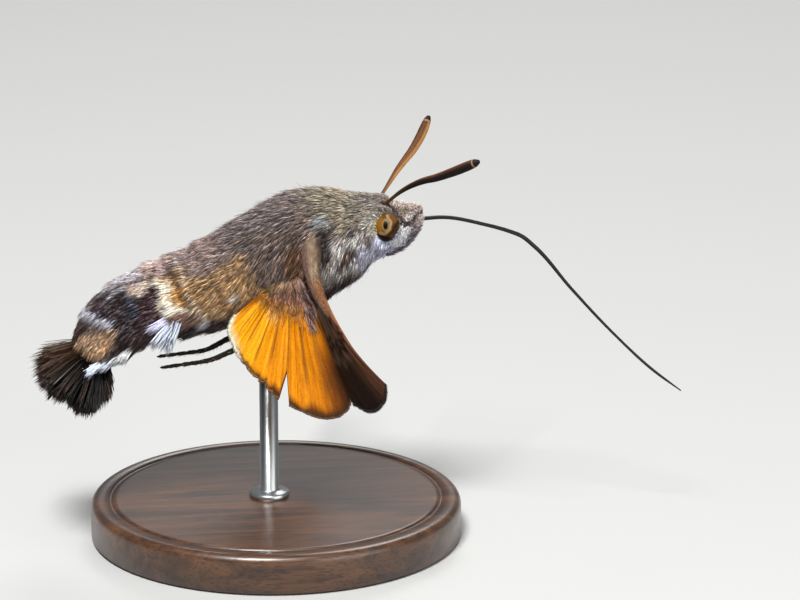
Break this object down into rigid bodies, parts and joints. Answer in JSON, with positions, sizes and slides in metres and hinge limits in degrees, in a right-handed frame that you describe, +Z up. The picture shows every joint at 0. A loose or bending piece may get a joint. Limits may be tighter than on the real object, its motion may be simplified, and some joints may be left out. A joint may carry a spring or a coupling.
{
  "type": "hummingbird hawk moth model",
  "caption": "life-size still model of a hummingbird hawk moth hovering with its proboscis out, on a plain round display stand",
  "frame": {"origin": "centre of the underside of the round display base", "axes": "+X is the way the moth faces, +Z is up, -Y is the moth's right side"},
  "size_m": [0.0497, 0.0392, 0.0303],
  "materials": {
    "fur": "short grey-brown body scales and hair",
    "dark_fur": "black-brown flat hair scales",
    "forewing": "fine brown wing scales",
    "hindwing": "fine orange wing scales",
    "eye": "glossy golden-brown compound eye",
    "horn": "scaled brown horn of the antennae",
    "proboscis": "glossy black horn",
    "stand_wood": "dark turned wood with a satin lacquer",
    "stand_steel": "brushed stainless steel rod"
  },
  "bodies": {
    "root": {"head": "fur", "thorax": "fur", "abdomen_front": "fur", "abdomen_rear": "fur", "tail_fan": "dark_fur", "eye_right": "eye", "eye_left": "eye", "palp_right": "fur", "palp_left": "fur", "antenna_right": "horn", "antenna_left": "horn", "proboscis_upper": "proboscis", "proboscis_lower": "proboscis", "leg_fore_right": "dark_fur", "leg_fore_left": "dark_fur", "leg_mid_right": "dark_fur", "leg_mid_left": "dark_fur", "leg_hind_right": "dark_fur", "leg_hind_left": "dark_fur", "forewing_right": "forewing", "forewing_left": "forewing", "hindwing_right": "hindwing", "hindwing_left": "hindwing", "stand_base": "stand_wood", "stand_rod": "stand_steel"}
  },
  "joints": []
}
